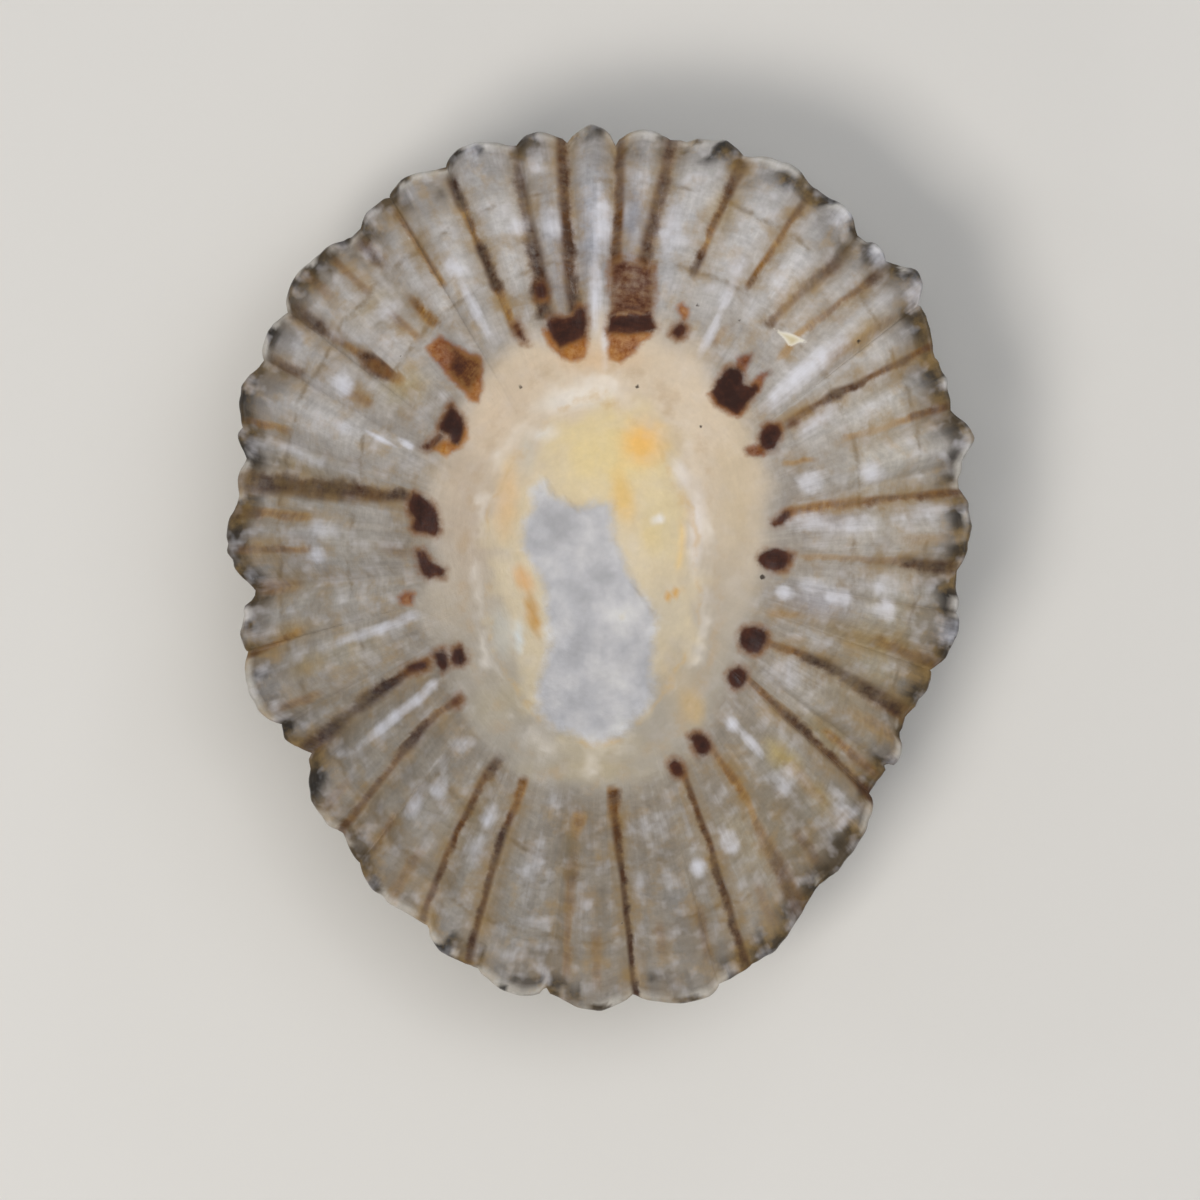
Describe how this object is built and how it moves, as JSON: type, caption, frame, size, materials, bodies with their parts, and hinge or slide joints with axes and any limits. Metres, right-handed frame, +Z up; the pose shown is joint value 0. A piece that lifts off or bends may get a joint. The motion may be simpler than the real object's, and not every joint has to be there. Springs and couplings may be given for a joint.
{
  "type": "limpet shell",
  "caption": "Empty limpet shell lying hollow side up on its worn apex: a low, egg-shaped cone with radial ribs and a scalloped margin.",
  "frame": {"origin": "centre of the flat worn apex, on the surface that the shell rests on, where the ribs meet", "axes": "+Z up, out of the hollow; +Y along the shell's length, towards its broad end; +X to the right seen from above"},
  "size_m": [0.0338, 0.0401, 0.0097],
  "materials": {
    "shell": "satin"
  },
  "bodies": {
    "root": {"shell": "shell"}
  },
  "joints": []
}
